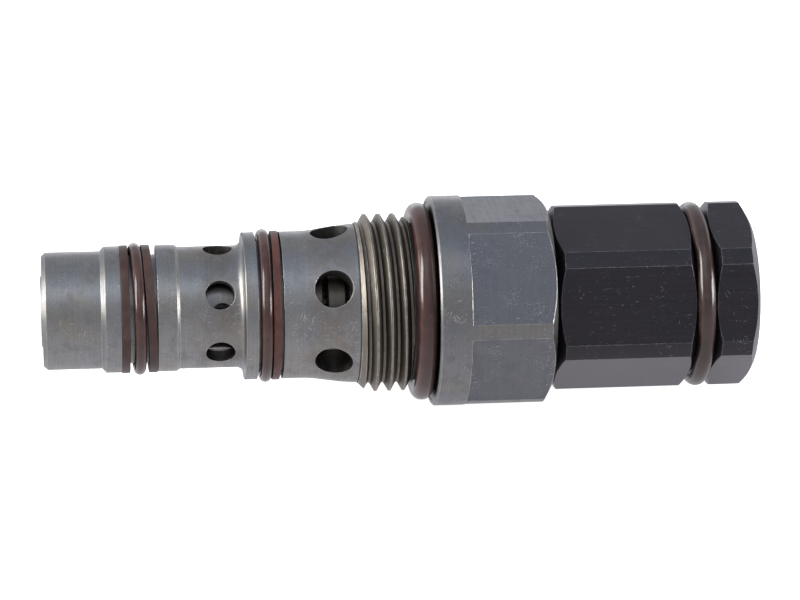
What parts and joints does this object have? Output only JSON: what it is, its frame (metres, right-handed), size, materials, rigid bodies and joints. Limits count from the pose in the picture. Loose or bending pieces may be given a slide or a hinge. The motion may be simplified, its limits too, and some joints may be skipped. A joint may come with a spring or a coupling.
{
  "type": "screw-in cartridge valve",
  "caption": "Screw-in hydraulic cartridge valve with ported sleeve, sealed lands, threaded hexagon body, black spring housing and screw adjuster.",
  "frame": {"origin": "on the valve's axis, in the plane of the flange face that seats on the manifold", "axes": "+X along the valve axis from the nose to the adjuster, +Z square to one flat of the body hexagon and up as the valve lies on a table, +Y the third axis"},
  "size_m": [0.107, 0.0318, 0.0318],
  "materials": {
    "cage_steel": "turned and hardened, satin",
    "body_steel": "machined and plated, satin",
    "black_anodised": "satin black anodised",
    "spool_steel": "ground",
    "ball_steel": "polished",
    "spring_steel": "oiled, semi-gloss",
    "zinc_hardware": "zinc plated",
    "seal_brown": "semi-gloss fluorocarbon rubber",
    "seal_dark_brown": "semi-gloss fluorocarbon rubber",
    "seal_grey_brown": "semi-gloss fluorocarbon rubber",
    "backup_brown": "matte, filled",
    "backup_red_brown": "matte, filled",
    "black_rubber": "semi-gloss nitrile rubber"
  },
  "bodies": {
    "valve_body": {"hex_body": "body_steel", "cage": "cage_steel", "nose_port_bush": "cage_steel", "spring_housing": "black_anodised", "main_spring": "spring_steel", "nose_backup_ring_front": "backup_brown", "nose_o_ring": "seal_brown", "nose_backup_ring_rear": "backup_brown", "cage_o_ring": "seal_brown", "cage_backup_ring": "backup_red_brown", "body_o_ring": "seal_dark_brown", "housing_joint_o_ring": "black_rubber", "vent_band_o_ring": "seal_grey_brown"},
    "spool_group": {"spool": "spool_steel", "thrust_ball": "ball_steel", "lower_spring_seat": "spool_steel"},
    "spring_adjuster": {"upper_spring_seat": "spool_steel", "adjuster_o_ring": "black_rubber", "preload_shim": "spool_steel"},
    "screw": {"adjusting_screw": "zinc_hardware", "screw_stop_ring": "spring_steel"},
    "nut_washer": {"seal_washer": "zinc_hardware", "seal_washer_lip": "black_rubber"},
    "nut": {"lock_nut": "zinc_hardware"}
  },
  "joints": [
    {"name": "spool_slide", "type": "slide", "parent": "valve_body", "child": "spool_group", "axis": [1, 0, 0], "range_m": [0, 0.006], "stiffness_N_per_m": 500, "springref_m": -0.004, "deforming": ["main_spring"]},
    {"name": "screw_feed", "type": "slide", "parent": "valve_body", "child": "spring_adjuster", "axis": [1, 0, 0], "range_m": [0, 0.004], "deforming": ["main_spring"]},
    {"name": "screw_turn", "type": "hinge", "parent": "spring_adjuster", "child": "screw", "pos_m": [0.0375, 0, 0], "axis": [1, 0, 0], "range_deg": [0, 1441]},
    {"name": "nut_travel", "type": "slide", "parent": "valve_body", "child": "nut_washer", "axis": [1, 0, 0], "range_m": [0, 0.002]},
    {"name": "nut_turn", "type": "hinge", "parent": "nut_washer", "child": "nut", "pos_m": [0.0453, 0, 0], "axis": [1, 0, 0], "range_deg": [0, 722]}
  ],
  "couplings": [
    {"joint": "screw_turn", "follows": "screw_feed", "rad_per_m": 6283.2},
    {"joint": "nut_turn", "follows": "nut_travel", "rad_per_m": 6283.2}
  ]
}
